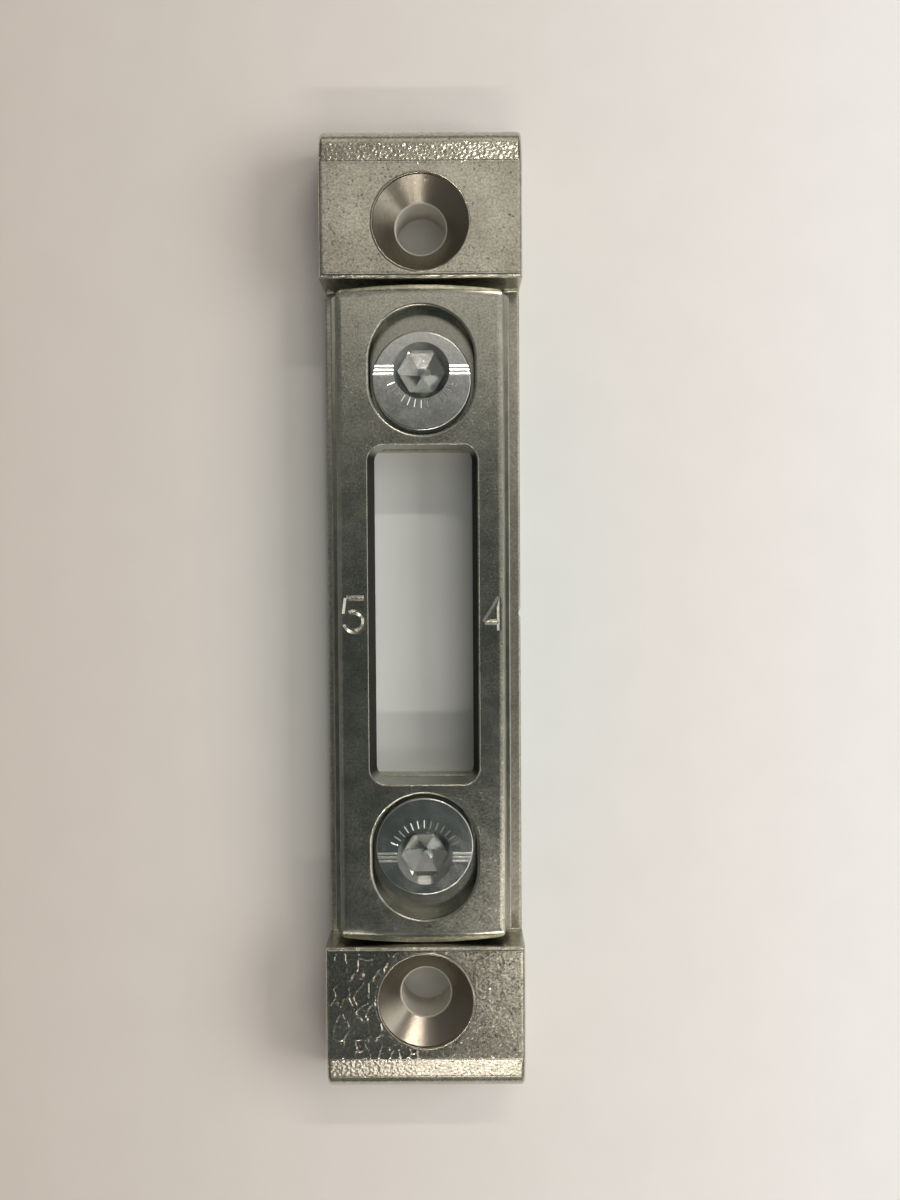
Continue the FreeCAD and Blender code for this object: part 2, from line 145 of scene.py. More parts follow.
# %% [markdown]
# ## Lamps
# Shadows inside the opening have crisp upper and lower edges but fade sideways, so much of the light
# comes from long strips that lie across the plate, as ceiling tubes do. Point lamps would give edges
# that are crisp all round. Each strip has a slope, which is how far it hangs along the plate for each
# metre of height. The narrow far and near rows throw the crisp shadows. The wider upper and lower rows
# are mirrored by the level faces, and the wall and the low row brighten the rounded ends and the cones.
# The shadow lies on the left, so a broad soft lamp fills in from the right. It is kept out of
# reflections, because the metal mirrors only a narrow strip there, which lights the sunken numerals.
# The strip stands in front of the fill, because behind it the strip would be hidden from the metal too.

# %% Lamps
ROW_COLOUR = "#fff5ea"
SIDE_COLOUR = "#faf6f1"
ROW_HEIGHT = 0.40


def lamp(name, place, size, watts, colour):
    """A flat lamp of the given width along X and length along Y, in metres, that shines down."""
    light = bpy.data.lights.new(name, "AREA")
    light.shape = "RECTANGLE"
    light.size, light.size_y = size
    light.energy = watts
    light.color = linear(colour)[:3]
    holder = bpy.data.objects.new(name, light)
    bpy.context.scene.collection.objects.link(holder)
    holder.location = place
    return holder


for name, slope, x_from, x_to, width, watts in (
        ("far_wall", 2.75, -0.40, 0.40, 0.20, 0.38),
        ("far_row", 1.13, 0.055, 0.36, 0.02, 0.80),
        ("upper_row", 0.41, -0.08, 0.50, 0.11, 0.10),
        ("lower_row", -0.46, 0.03, 0.50, 0.05, 0.18),
        ("near_row", -1.12, -0.05, 0.28, 0.02, 0.65),
        ("low_row", -1.70, -0.06, 0.12, 0.12, 0.14)):
    middle = ((x_from + x_to) / 2, slope * ROW_HEIGHT, ROW_HEIGHT)
    strip = lamp(name, middle, (x_to - x_from, width), watts, ROW_COLOUR)
    strip.rotation_euler = (-math.atan(slope), 0, 0)
    print(name, "hangs", round(slope * ROW_HEIGHT, 3), "m along the plate")

for name, place, size, watts, mirrored in (
        ("side_fill", Vector((0.36, 0.0, 0.24)), (0.20, 0.40), 1.20, False),
        ("side_strip", Vector((0.263, 0.0, 0.152)), (0.075, 0.22), 0.08, True)):
    side = lamp(name, place, size, watts, SIDE_COLOUR)
    side.visible_glossy = mirrored
    side.rotation_euler = (0, math.atan2(place.x, place.z), 0)
    print(name, "stands", round(place.length, 2), "m away")

# %% [markdown]
# ## Paper floor
# The plate lies on a sheet of pale matt background paper. Its colour is painted lighter towards the right
# and darker towards the left, as painted light and shade across the sheet, and it is a touch cooler
# close to the plate. One plain colour would look like plastic, because real paper is faintly
# cloudy over a few millimetres. The sheet is a stage and not a part of the object.

# %% Paper
PAPER_LEFT_SHADED = "#dcd5cf"
PAPER_RIGHT_LIT = "#eff0f1"
PAINTED_FALLOFF_SPAN_MM = (-45.0, 55.0)
COOL_TINT = (0.95, 1.03, 1.05, 1.0)
NO_TINT = (1.0, 1.0, 1.0, 1.0)
TINT_SQUEEZE = (1.0, 0.45, 0.0)
TINT_FADE_MM = (11.0, 26.0)
FIBRE_MM = 6.0
FIBRE_STRENGTH = (0.97, 1.03)


def blank(name):
    """A new material, its empty tree, and the place on the object in millimetres."""
    material = bpy.data.materials.new(name)
    material.use_nodes = True
    tree = material.node_tree
    tree.nodes.clear()
    spot = add(tree, "ShaderNodeTexCoord").outputs["Object"]
    place = add(tree, "ShaderNodeVectorMath", {0: spot, 3: 1 / MM}, operation="SCALE").outputs[0]
    return material, tree, place


matt_paper, tree, place = blank("matt_paper")
across = add(tree, "ShaderNodeSeparateXYZ", {0: place}).outputs["X"]
# Painted light and shade: the colour is painted darker on the left and lighter on the right.
drift = add(tree, "ShaderNodeMapRange", {
    "Value": across, "From Min": PAINTED_FALLOFF_SPAN_MM[0], "From Max": PAINTED_FALLOFF_SPAN_MM[1]})
painted_falloff = add(tree, "ShaderNodeMix", {0: drift, 6: linear(PAPER_LEFT_SHADED), 7: linear(PAPER_RIGHT_LIT)},
             data_type="RGBA")
squeezed = add(tree, "ShaderNodeVectorMath", {0: place, 1: TINT_SQUEEZE}, operation="MULTIPLY")
aside = add(tree, "ShaderNodeVectorMath", {0: squeezed}, operation="LENGTH").outputs["Value"]
away = add(tree, "ShaderNodeMapRange", {
    "Value": aside, "From Min": TINT_FADE_MM[0], "From Max": TINT_FADE_MM[1]})
tint = add(tree, "ShaderNodeMix", {0: away, 6: COOL_TINT, 7: NO_TINT}, data_type="RGBA")
tinted = add(tree, "ShaderNodeVectorMath", {0: painted_falloff.outputs[2], 1: tint.outputs[2]}, operation="MULTIPLY")
fibre = add(tree, "ShaderNodeTexNoise", {"Vector": place, "Scale": 1 / FIBRE_MM, "Detail": 3.0})
strength = add(tree, "ShaderNodeMapRange", {
    "Value": fibre, "To Min": FIBRE_STRENGTH[0], "To Max": FIBRE_STRENGTH[1]})
shade = add(tree, "ShaderNodeVectorMath", {0: tinted, 3: strength}, operation="SCALE")
shader = add(tree, "ShaderNodeBsdfPrincipled", {
    "Base Color": shade, "Roughness": 0.9, "Specular IOR Level": 0.2})
add(tree, "ShaderNodeOutputMaterial", {"Surface": shader})
print(matt_paper.name, "has", len(tree.nodes), "nodes")

# %% Floor
FLOOR_HALF = 1.5
CORNERS = ((-1, -1), (1, -1), (1, 1), (-1, 1))
sheet = bpy.data.meshes.new("floor")
sheet.from_pydata([(x * FLOOR_HALF, y * FLOOR_HALF, 0) for x, y in CORNERS], [], [(0, 1, 2, 3)])
sheet.materials.append(matt_paper)
floor = bpy.data.objects.new("floor", sheet)
bpy.context.scene.collection.objects.link(floor)
print("floor spans", 2 * FLOOR_HALF, "m")

# %% [markdown]
# ## What the two zinc finishes share
# Zinc die castings are tumbled with stones. Tumbling leaves countless tiny flats at slightly different
# tilts, so a face looks matt from afar and sparkles up close. A bump map could stand for them, but it
# bends smoothly from spot to spot, and flats don't. Cells of a Voronoi texture do better: each cell
# leans the surface its own way, most of them a little and a few a lot. Real flats are finer than a
# pixel here, so they are drawn coarser.
# The stones rub the open faces bright but hardly reach the long walls inside the openings, which keep
# the duller skin of the mould. The colour of these walls, and a little of the outer walls, is painted dark
# as painted shade deep in the openings. The sideways lean of the surface and its place tell the two apart.

# %% Facets, walls and speckle
RARE_REACH = (0.36, 0.6)
STEEP = (0.65, 0.95)
OUTER_X_MM = (7.0, 7.6)
OUTER_RUB_UNSHADED = 0.75
BLOCK_WALL_Y_MM = (33.0, 33.4)
FLECK_RANGE = (0.33, 0.67)
# Painted shade: the colour of the walls inside the openings is multiplied by this tone.
WALL_SHADE_TONE = "#3e3e38"


def facets(tree, place, width, lean, rare):
    """A normal that leans its own way on each cell of the given width in millimetres.

    Most cells lean a little, and a few lean up to rare times as much.
    """
    cells = add(tree, "ShaderNodeTexVoronoi", {"Vector": place, "Scale": 1 / width})
    way = add(tree, "ShaderNodeVectorMath", {0: cells.outputs["Color"], 1: (0.5, 0.5, 0.5)},
              operation="SUBTRACT")
    reach = add(tree, "ShaderNodeVectorMath", {0: way, 1: way}, operation="DOT_PRODUCT")
    rarely = add(tree, "ShaderNodeMapRange", {
        "Value": reach.outputs["Value"], "From Min": RARE_REACH[0], "From Max": RARE_REACH[1],
        "To Min": 1.0, "To Max": rare})
    much = add(tree, "ShaderNodeMath", {0: rarely, 1: lean}, operation="MULTIPLY")
    leaning = add(tree, "ShaderNodeVectorMath", {0: way, 3: much}, operation="SCALE")
    normal = add(tree, "ShaderNodeNewGeometry").outputs["Normal"]
    tilted = add(tree, "ShaderNodeVectorMath", {0: normal, 1: leaning}, operation="ADD")
    return add(tree, "ShaderNodeVectorMath", {0: tilted}, operation="NORMALIZE")


def rubbed_unshaded_mask(tree, place):
    """1 on faces open to the stones, 0 on long walls inside the openings, between on outer walls. Below 1 the
    zinc is duller and its colour gets painted shade.
    """
    normal = add(tree, "ShaderNodeNewGeometry").outputs["Normal"]
    sideways = add(tree, "ShaderNodeSeparateXYZ", {0: normal}).outputs["X"]
    steep = add(tree, "ShaderNodeMath", {0: sideways}, operation="ABSOLUTE")
    level = add(tree, "ShaderNodeMapRange", {
        "Value": steep, "From Min": STEEP[0], "From Max": STEEP[1], "To Min": 1.0, "To Max": 0.0})
    spread = add(tree, "ShaderNodeVectorMath", {0: place}, operation="ABSOLUTE")
    reach = add(tree, "ShaderNodeSeparateXYZ", {0: spread}).outputs
    outside = add(tree, "ShaderNodeMapRange", {
        "Value": reach["X"], "From Min": OUTER_X_MM[0], "From Max": OUTER_X_MM[1],
        "To Min": 0.0, "To Max": OUTER_RUB_UNSHADED})
    beyond = add(tree, "ShaderNodeMapRange", {
        "Value": reach["Y"], "From Min": BLOCK_WALL_Y_MM[0], "From Max": BLOCK_WALL_Y_MM[1]})
    open_walls = add(tree, "ShaderNodeMath", {0: outside, 1: beyond}, operation="MAXIMUM")
    return add(tree, "ShaderNodeMath", {0: level, 1: open_walls}, operation="MAXIMUM")


def speckled(tree, place, cloud, dark, pale, fleck_mm, low, high, rubbed_unshaded):
    """Zinc that drifts between two greys with fine flecks, with painted shade on the walls where the mask is
    below 1.
    """
    shade = add(tree, "ShaderNodeMix", {0: cloud, 6: linear(dark), 7: linear(pale)}, data_type="RGBA")
    fleck = add(tree, "ShaderNodeTexNoise", {"Vector": place, "Scale": 1 / fleck_mm, "Detail": 1.0})
    strength = add(tree, "ShaderNodeMapRange", {
        "Value": fleck, "From Min": FLECK_RANGE[0], "From Max": FLECK_RANGE[1],
        "To Min": low, "To Max": high})
    flecked = add(tree, "ShaderNodeVectorMath", {0: shade.outputs[2], 3: strength}, operation="SCALE")
    # Painted shade on the walls inside the openings.
    wall = add(tree, "ShaderNodeVectorMath", {0: flecked, 1: linear(WALL_SHADE_TONE)[:3]}, operation="MULTIPLY")
    return add(tree, "ShaderNodeMix", {0: rubbed_unshaded, 6: wall, 7: flecked}, data_type="RGBA").outputs[2]


print("walls keep", [round(c, 3) for c in linear(WALL_SHADE_TONE)[:3]], "of the open zinc's colour")

# %% [markdown]
# ## Tumbled zinc
# The base was tumbled with coarse stones, so its end blocks sparkle strongly. The rails between them lie
# deeper, where fewer stones reach, and are duller. The cones of the two screw holes were cut afterwards:
# they hardly sparkle and are a little browner, and the bores under them are pale and dull. At the left
# of the lower block the metal froze early against the mould and stayed smoother. Several materials
# would need the solid to be split, so one material carries them all, with masks made from the place on
# the part in millimetres.

# %% Masks of the base
CONE_RADIUS_MM = 4.84
BORE_EDGE_MM = (2.62, 2.72)
SCREW_Y_MM = 39.0
SKIN_EDGE_MM = 0.1
BLOCK_Y_MM = (32.8, 33.3)
LOW_BLOCK_Y_MM = (-33.3, -33.8)
FROZEN_X_MM = (4.0, -4.0)
FLATTEN = (1, 1, 0)

tumbled_zinc, tree, place = blank("tumbled_zinc")
mirrored = add(tree, "ShaderNodeVectorMath", {0: place}, operation="ABSOLUTE")
level = add(tree, "ShaderNodeVectorMath", {0: mirrored, 1: FLATTEN}, operation="MULTIPLY")
to_hole = add(tree, "ShaderNodeVectorMath", {0: level, 1: (0, SCREW_Y_MM, 0)}, operation="DISTANCE")
skin = add(tree, "ShaderNodeMapRange", {
    "Value": to_hole.outputs["Value"], "From Min": CONE_RADIUS_MM, "From Max": CONE_RADIUS_MM + SKIN_EDGE_MM})
in_cone = add(tree, "ShaderNodeMapRange", {
    "Value": to_hole.outputs["Value"], "From Min": BORE_EDGE_MM[0], "From Max": BORE_EDGE_MM[1]})
along = add(tree, "ShaderNodeSeparateXYZ", {0: mirrored}).outputs["Y"]
on_block = add(tree, "ShaderNodeMapRange", {
    "Value": along, "From Min": BLOCK_Y_MM[0], "From Max": BLOCK_Y_MM[1]})
tumbled = add(tree, "ShaderNodeMath", {0: skin, 1: on_block}, operation="MULTIPLY")
axes = add(tree, "ShaderNodeSeparateXYZ", {0: place}).outputs
low_block = add(tree, "ShaderNodeMapRange", {
    "Value": axes["Y"], "From Min": LOW_BLOCK_Y_MM[0], "From Max": LOW_BLOCK_Y_MM[1]})
left_part = add(tree, "ShaderNodeMapRange", {
    "Value": axes["X"], "From Min": FROZEN_X_MM[0], "From Max": FROZEN_X_MM[1]})
frozen = add(tree, "ShaderNodeMath", {0: low_block, 1: left_part}, operation="MULTIPLY")
rubbed_unshaded = rubbed_unshaded_mask(tree, place)
print(tumbled_zinc.name, "has", len(tree.nodes), "nodes for its masks")

# %% Tumbled zinc
FLAT_MM = 0.18
FLAT_LEAN = (0.015, 0.05)
FLAT_RARE = 5.0
FROZEN_LEAN = 0.6
CLOUD_MM = 5.0
FLECK_MM = 0.22
FLECK_STRENGTH = (0.80, 1.14)
BORE_ROUGH = 0.6
CONE_ROUGH = 0.27
RAIL_ROUGH = 0.32
BLOCK_ROUGH = 0.24
FROZEN_ROUGH = -0.06
WALL_ROUGH = 0.95
WALL_METAL = 0.3

cloud = add(tree, "ShaderNodeTexNoise", {
    "Vector": place, "Scale": 1 / CLOUD_MM, "Detail": 5.0, "Roughness": 0.65})
zinc = speckled(tree, place, cloud, "#918e81", "#eae8da", FLECK_MM, *FLECK_STRENGTH, rubbed_unshaded)
cut = add(tree, "ShaderNodeMix", {0: in_cone, 6: linear("#cbc9c0"), 7: linear("#a7a194")}, data_type="RGBA")
colour = add(tree, "ShaderNodeMix", {0: skin, 6: cut.outputs[2], 7: zinc}, data_type="RGBA")
full_lean = add(tree, "ShaderNodeMapRange", {
    "Value": tumbled, "To Min": FLAT_LEAN[0], "To Max": FLAT_LEAN[1]})
calm = add(tree, "ShaderNodeMapRange", {"Value": frozen, "To Min": 1.0, "To Max": FROZEN_LEAN})
lean = add(tree, "ShaderNodeMath", {0: full_lean, 1: calm}, operation="MULTIPLY")
open_rough = add(tree, "ShaderNodeMapRange", {"Value": on_block, "To Min": RAIL_ROUGH, "To Max": BLOCK_ROUGH})
face_rough = add(tree, "ShaderNodeMath", {0: frozen, 1: FROZEN_ROUGH, 2: open_rough},
                 operation="MULTIPLY_ADD")
cut_rough = add(tree, "ShaderNodeMapRange", {"Value": in_cone, "To Min": BORE_ROUGH, "To Max": CONE_ROUGH})
rough = add(tree, "ShaderNodeMix", {0: skin, 2: cut_rough, 3: face_rough}, data_type="FLOAT")
dulled = add(tree, "ShaderNodeMix", {0: rubbed_unshaded, 2: WALL_ROUGH, 3: rough}, data_type="FLOAT")
open_metal = add(tree, "ShaderNodeMath", {0: rubbed_unshaded, 1: in_cone}, operation="MULTIPLY")
metallic = add(tree, "ShaderNodeMapRange", {"Value": open_metal, "To Min": WALL_METAL, "To Max": 1.0})
metal = add(tree, "ShaderNodeBsdfPrincipled", {
    "Base Color": colour.outputs[2], "Metallic": metallic, "Roughness": dulled,
    "Normal": facets(tree, place, FLAT_MM, lean, FLAT_RARE)})
add(tree, "ShaderNodeOutputMaterial", {"Surface": metal})
print(tumbled_zinc.name, "has", len(tree.nodes), "nodes")

# %% [markdown]
# ## Satin zinc
# The insert is the same alloy, tumbled finer, so its face is a calmer satin. It shows a cloudy mottle
# and small pits where gas came out of the casting. The pits are not cut into the mesh: their dark colour
# is painted shade. The flats end and the flecks fade just below the face, so the sunken numerals keep
# clean bright walls, and below the face the colour is painted a little darker on average, as painted
# shade in the sunken slots. A mask made from the height does that without cutting the solid up.

# %% Satin zinc
MOTTLE_MM = 2.6
MOTTLE_RANGE = (0.3, 0.7)
SATIN_ROUGH = (0.21, 0.26)
FACE_Z_MM = (5.85, 5.98)
SATIN_FLECK_MM = 0.20
DEEP_FLECK_SHADED = (0.84, 0.98)
FACE_FLECK = (0.80, 1.14)
SATIN_FLAT_MM = 0.16
SATIN_LEAN = 0.013
SATIN_RARE = 8.0
PIT_MM = 0.55
PIT_RANGE = (0.23, 0.29)
PIT_SHADE_TONE = 0.35

satin_zinc, tree, place = blank("satin_zinc")
mottle = add(tree, "ShaderNodeTexNoise", {
    "Vector": place, "Scale": 1 / MOTTLE_MM, "Detail": 6.0, "Roughness": 0.7})
rubbed_unshaded = rubbed_unshaded_mask(tree, place)
height = add(tree, "ShaderNodeSeparateXYZ", {0: place}).outputs["Z"]
on_face = add(tree, "ShaderNodeMapRange", {
    "Value": height, "From Min": FACE_Z_MM[0], "From Max": FACE_Z_MM[1]})
# Below the face the flecks are painted darker on average, as painted shade in the sunken slots.
low = add(tree, "ShaderNodeMapRange", {"Value": on_face, "To Min": DEEP_FLECK_SHADED[0], "To Max": FACE_FLECK[0]})
high = add(tree, "ShaderNodeMapRange", {"Value": on_face, "To Min": DEEP_FLECK_SHADED[1], "To Max": FACE_FLECK[1]})
lean = add(tree, "ShaderNodeMapRange", {"Value": on_face, "To Min": 0.0, "To Max": SATIN_LEAN})
zinc = speckled(tree, place, mottle, "#8c8e83", "#dbdccf", SATIN_FLECK_MM, low, high, rubbed_unshaded)
# Painted shade: the pits are not in the mesh, so the shade inside them is painted as dark specks.
pores = add(tree, "ShaderNodeTexNoise", {"Vector": place, "Scale": 1 / PIT_MM, "Detail": 2.0})
pit_shade = add(tree, "ShaderNodeMapRange", {
    "Value": pores, "From Min": PIT_RANGE[0], "From Max": PIT_RANGE[1], "To Min": PIT_SHADE_TONE})
pit_shaded = add(tree, "ShaderNodeVectorMath", {0: zinc, 3: pit_shade}, operation="SCALE")
rough = add(tree, "ShaderNodeMapRange", {
    "Value": mottle, "From Min": MOTTLE_RANGE[0], "From Max": MOTTLE_RANGE[1],
    "To Min": SATIN_ROUGH[0], "To Max": SATIN_ROUGH[1]})
dulled = add(tree, "ShaderNodeMix", {0: rubbed_unshaded, 2: WALL_ROUGH, 3: rough}, data_type="FLOAT")
metallic = add(tree, "ShaderNodeMapRange", {"Value": rubbed_unshaded, "To Min": WALL_METAL, "To Max": 1.0})
metal = add(tree, "ShaderNodeBsdfPrincipled", {
    "Base Color": pit_shaded, "Metallic": metallic, "Roughness": dulled,
    "Normal": facets(tree, place, SATIN_FLAT_MM, lean, SATIN_RARE)})
add(tree, "ShaderNodeOutputMaterial", {"Surface": metal})
print(satin_zinc.name, "has", len(tree.nodes), "nodes")

# %% [markdown]
# ## Bright steel
# The eccentrics are turned steel with a bright bluish plating. The plating is almost a mirror, dulled
# by fingers and by the key, so its gloss changes in soft smears. The key sockets are worn a little
# duller than the faces, and deep in them the colour is painted greyer, as painted shade. The turning tool
# left faint rings around the middle of each disc.
# Rings cut into the mesh would need thousands of faces, so they only change the gloss, and they are
# drawn coarser than they are.

# %% Bright steel
SMEAR_MM = 1.6
SMEAR_RANGE = (0.3, 0.7)
STEEL_ROUGH = (0.13, 0.24)
RING_MM = 0.3
RING_STRENGTH = 0.05
DISC_Y_MM = 23.55
SOCKET_Z_MM = (4.8, 5.6)
SOCKET_ROUGH = 0.17
SOCKET_SHADE_TONE = 0.8
STEEL_FLAT_MM = 0.2
STEEL_LEAN = 0.012
STEEL_RARE = 3.0

bright_steel, tree, place = blank("bright_steel")
smear = add(tree, "ShaderNodeTexNoise", {
    "Vector": place, "Scale": 1 / SMEAR_MM, "Detail": 5.0, "Roughness": 0.7})
shade = add(tree, "ShaderNodeMix", {0: smear, 6: linear("#c2c9c8"), 7: linear("#e4e5e1")}, data_type="RGBA")
mirrored = add(tree, "ShaderNodeVectorMath", {0: place}, operation="ABSOLUTE")
level = add(tree, "ShaderNodeVectorMath", {0: mirrored, 1: FLATTEN}, operation="MULTIPLY")
to_axis = add(tree, "ShaderNodeVectorMath", {0: level, 1: (0, DISC_Y_MM, 0)}, operation="DISTANCE")
phase = add(tree, "ShaderNodeMath", {0: to_axis.outputs["Value"], 1: 2 * math.pi / RING_MM},
            operation="MULTIPLY")
ring = add(tree, "ShaderNodeMath", {0: phase}, operation="SINE")
ringed = add(tree, "ShaderNodeMath", {0: ring, 1: RING_STRENGTH, 2: smear}, operation="MULTIPLY_ADD")
rough = add(tree, "ShaderNodeMapRange", {
    "Value": ringed, "From Min": SMEAR_RANGE[0], "From Max": SMEAR_RANGE[1],
    "To Min": STEEL_ROUGH[0], "To Max": STEEL_ROUGH[1]})
height = add(tree, "ShaderNodeSeparateXYZ", {0: place}).outputs["Z"]
deep = add(tree, "ShaderNodeMapRange", {
    "Value": height, "From Min": SOCKET_Z_MM[0], "From Max": SOCKET_Z_MM[1],
    "To Min": SOCKET_ROUGH, "To Max": 0.0})
worn = add(tree, "ShaderNodeMath", {0: rough, 1: deep}, operation="MAXIMUM")
# Painted shade: the colour is painted darker deep in the key sockets.
socket_shade = add(tree, "ShaderNodeMapRange", {
    "Value": height, "From Min": SOCKET_Z_MM[0], "From Max": SOCKET_Z_MM[1],
    "To Min": SOCKET_SHADE_TONE, "To Max": 1.0})
socket_shaded = add(tree, "ShaderNodeVectorMath", {0: shade.outputs[2], 3: socket_shade}, operation="SCALE")
metal = add(tree, "ShaderNodeBsdfPrincipled", {
    "Base Color": socket_shaded, "Metallic": 1.0, "Roughness": worn,
    "Normal": facets(tree, place, STEEL_FLAT_MM, STEEL_LEAN, STEEL_RARE)})
add(tree, "ShaderNodeOutputMaterial", {"Surface": metal})
print(bright_steel.name, "has", len(tree.nodes), "nodes")

# %% [markdown]
# ## Dress the solids
# The solids keep their shapes and only get their finishes. Each is one piece of metal with one finish,
# so one material slot is enough for each.

# %% Dress the solids
FINISH = {
    "base_plate": tumbled_zinc,
    "sliding_insert": satin_zinc,
    "upper_eccentric": bright_steel,
    "lower_eccentric": bright_steel,
}
for name, material in FINISH.items():
    mesh = solids[name].data
    mesh.materials.clear()
    mesh.materials.append(material)
    print(name, "is", material.name)

# %% [markdown]
# ## Casting skin
# The skin of the casting has a relief of its own. The two ramps are grainy, the upper block is finely
# pebbled, and the lower block carries squiggly raised lines, where the metal froze while it still
# flowed in the mould. Such a relief follows a rule and not a drawing, so Geometry Nodes make it: a
# fine grid is lifted by noise for the grain and along the cell walls of a warped Voronoi pattern for
# the flow lines. The lines have gaps and are strongest at the left. At its border and around a screw
# hole each sheet dips under the solid's own face, which hides the seam.

# %% Tree for a sheet of casting skin
SWIRL_SHARE = 0.8
FLOW_STRETCH = (1.0, 0.5, 1.0)
LINE_WIDTH = 0.07
LINE_GAPS = (0.42, 0.54)
FAINT_FLOW = 0.15


def skin_tree(material):
    tree = bpy.data.node_groups.new("casting_skin", "GeometryNodeTree")
    tree.interface.new_socket("Skin", in_out="OUTPUT", socket_type="NodeSocketGeometry")
    for name in ("Width", "Length", "Step", "Grain", "Grain Height", "Flow", "Flow Height", "Flow Edge",
                 "Hole Radius", "Border", "Sink", "Seed"):
        tree.interface.new_socket(name, in_out="INPUT", socket_type="NodeSocketFloat")
    for name in ("Hole Middle", "Place", "Turn"):
        tree.interface.new_socket(name, in_out="INPUT", socket_type="NodeSocketVector")
    given = add(tree, "NodeGroupInput").outputs

    # A flat grid around the origin.
    across = add(tree, "ShaderNodeMath", {0: given["Width"], 1: given["Step"]}, operation="DIVIDE")
    along = add(tree, "ShaderNodeMath", {0: given["Length"], 1: given["Step"]}, operation="DIVIDE")
    grid = add(tree, "GeometryNodeMeshGrid", {
        "Size X": given["Width"], "Size Y": given["Length"], "Vertices X": across, "Vertices Y": along})
    spot = add(tree, "GeometryNodeInputPosition")
    axes = add(tree, "ShaderNodeSeparateXYZ", {0: spot}).outputs

    # The height of the grain.
    grains = add(tree, "ShaderNodeMath", {0: 1.0, 1: given["Grain"]}, operation="DIVIDE")
    grain = add(tree, "ShaderNodeTexNoise", {
        "Vector": spot, "W": given["Seed"], "Scale": grains, "Detail": 2.0, "Roughness": 0.6},
        noise_dimensions="4D")
    grain_rise = add(tree, "ShaderNodeMath", {0: grain, 1: given["Grain Height"]}, operation="MULTIPLY")

    # The height of the flow lines, added to the grain.
    swirls = add(tree, "ShaderNodeMath", {0: SWIRL_SHARE, 1: given["Flow"]}, operation="DIVIDE")
    swirl = add(tree, "ShaderNodeTexNoise", {
        "Vector": spot, "W": given["Seed"], "Scale": swirls, "Detail": 3.0}, noise_dimensions="4D")
    sway = add(tree, "ShaderNodeVectorMath", {0: swirl.outputs["Color"], 3: given["Flow"]}, operation="SCALE")
    drift = add(tree, "ShaderNodeVectorMath", {0: spot, 1: sway}, operation="ADD")
    drawn = add(tree, "ShaderNodeVectorMath", {0: drift, 1: FLOW_STRETCH}, operation="MULTIPLY")
    flows = add(tree, "ShaderNodeMath", {0: 1.0, 1: given["Flow"]}, operation="DIVIDE")
    walls = add(tree, "ShaderNodeTexVoronoi", {"Vector": drawn, "Scale": flows}, feature="DISTANCE_TO_EDGE")
    line = add(tree, "ShaderNodeMapRange", {
        "Value": walls, "From Min": 0.0, "From Max": LINE_WIDTH, "To Min": 1.0, "To Max": 0.0},
        interpolation_type="SMOOTHSTEP")
    flow_end = add(tree, "ShaderNodeMath", {0: given["Flow Edge"], 1: given["Flow"]}, operation="SUBTRACT")
    reach = add(tree, "ShaderNodeMapRange", {
        "Value": axes["X"], "From Min": given["Flow Edge"], "From Max": flow_end,
        "To Min": FAINT_FLOW, "To Max": 1.0})
    gaps = add(tree, "ShaderNodeMapRange", {
        "Value": swirl, "From Min": LINE_GAPS[0], "From Max": LINE_GAPS[1]})
    broken = add(tree, "ShaderNodeMath", {0: line, 1: gaps}, operation="MULTIPLY")
    there = add(tree, "ShaderNodeMath", {0: broken, 1: reach}, operation="MULTIPLY")
    relief = add(tree, "ShaderNodeMath", {0: there, 1: given["Flow Height"], 2: grain_rise},
                 operation="MULTIPLY_ADD")

    # How far a point is from the border and from the hole, which is where the sheet dips.
    half_width = add(tree, "ShaderNodeMath", {0: given["Width"], 1: 0.5}, operation="MULTIPLY")
    half_length = add(tree, "ShaderNodeMath", {0: given["Length"], 1: 0.5}, operation="MULTIPLY")
    off_x = add(tree, "ShaderNodeMath", {0: axes["X"]}, operation="ABSOLUTE")
    off_y = add(tree, "ShaderNodeMath", {0: axes["Y"]}, operation="ABSOLUTE")
    side_room = add(tree, "ShaderNodeMath", {0: half_width, 1: off_x}, operation="SUBTRACT")
    end_room = add(tree, "ShaderNodeMath", {0: half_length, 1: off_y}, operation="SUBTRACT")
    from_hole = add(tree, "ShaderNodeVectorMath", {0: spot, 1: given["Hole Middle"]}, operation="DISTANCE")
    hole_room = add(tree, "ShaderNodeMath", {0: from_hole.outputs["Value"], 1: given["Hole Radius"]},
                    operation="SUBTRACT")
    edge_room = add(tree, "ShaderNodeMath", {0: side_room, 1: end_room}, operation="MINIMUM")
    room_left = add(tree, "ShaderNodeMath", {0: edge_room, 1: hole_room}, operation="MINIMUM")
    inside = add(tree, "ShaderNodeMapRange", {"Value": room_left, "From Max": given["Border"]},
                 interpolation_type="SMOOTHSTEP")

